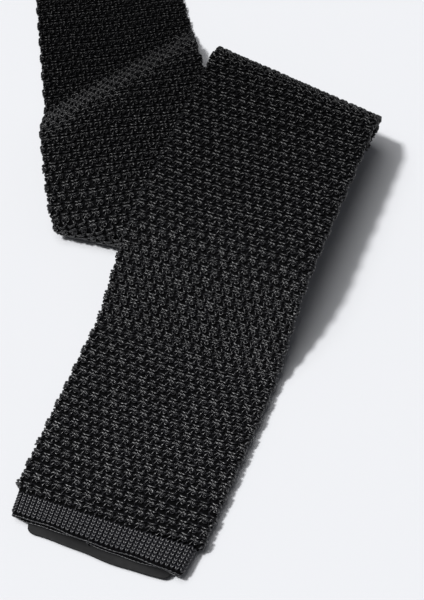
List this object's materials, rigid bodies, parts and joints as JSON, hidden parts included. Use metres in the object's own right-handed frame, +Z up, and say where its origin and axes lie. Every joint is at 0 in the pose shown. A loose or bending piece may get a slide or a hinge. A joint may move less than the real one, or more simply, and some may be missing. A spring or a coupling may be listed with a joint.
{
  "type": "knit necktie",
  "caption": "Square-ended black silk knit tie, folded over on itself with the rest stacked flat; open hem, keeper loop and label on the back.",
  "frame": {"origin": "middle of the lower face of the run that lies on the surface, between the two folds", "axes": "+Z up, +Y away from the front hem towards the folded tail, +X to the right seen from the front hem"},
  "size_m": [0.1485, 0.4268, 0.0235],
  "materials": {
    "silk_knit": "black silk knit with raised loops and a soft sheen",
    "hem_knit": "fine plain-knit black silk",
    "facing_tape": "smooth matt black tape",
    "keeper_ribbon": "ribbed black ribbon",
    "label_weave": "plain black satin weave, blank",
    "sewing_thread": "twisted black thread",
    "stay_tape": "woven black cotton tape"
  },
  "bodies": {
    "folded_strip": {"top_fold_under": "silk_knit", "under_run": "silk_knit", "lower_fold": "silk_knit", "rise": "silk_knit", "rise_bend": "silk_knit", "hump_top": "silk_knit", "hump_bend": "silk_knit", "slope": "silk_knit", "foot_bend": "silk_knit", "shoulder_run": "silk_knit", "far_fold_1": "silk_knit", "neck_run_1": "silk_knit", "near_fold_1": "silk_knit", "neck_run_2": "silk_knit", "neck_stay_tape": "stay_tape", "far_fold_2": "silk_knit", "neck_run_3": "silk_knit", "near_fold_2": "silk_knit", "tail_run": "silk_knit", "far_fold_3": "silk_knit"},
    "front_run": {"front_hem": "hem_knit", "front_hem_facing": "facing_tape", "front_hem_stitch": "sewing_thread", "front_blade_end": "silk_knit", "front_lower_bend": "silk_knit", "front_climb": "silk_knit", "front_upper_bend": "silk_knit", "front_blade_top": "silk_knit", "top_fold_front": "silk_knit", "keeper_loop": "keeper_ribbon", "keeper_tack_left": "sewing_thread", "keeper_tack_right": "sewing_thread", "maker_label": "label_weave", "label_stitch_low": "sewing_thread", "label_stitch_high": "sewing_thread"},
    "tail_end": {"tail_blade": "silk_knit", "tail_hem": "hem_knit", "tail_hem_facing": "facing_tape", "tail_hem_stitch": "sewing_thread"}
  },
  "joints": [
    {"name": "front_run_lift", "type": "hinge", "parent": "folded_strip", "child": "front_run", "pos_m": [0.02573, 0.03254, 0.01154], "axis": [-0.8688, 0.4952, -0.0056], "range_deg": [0, 120]},
    {"name": "tail_lift", "type": "hinge", "parent": "folded_strip", "child": "tail_end", "pos_m": [-0.073, 0.28143, 0.02152], "axis": [-0.9863, -0.165, 0], "range_deg": [0, 110]}
  ]
}
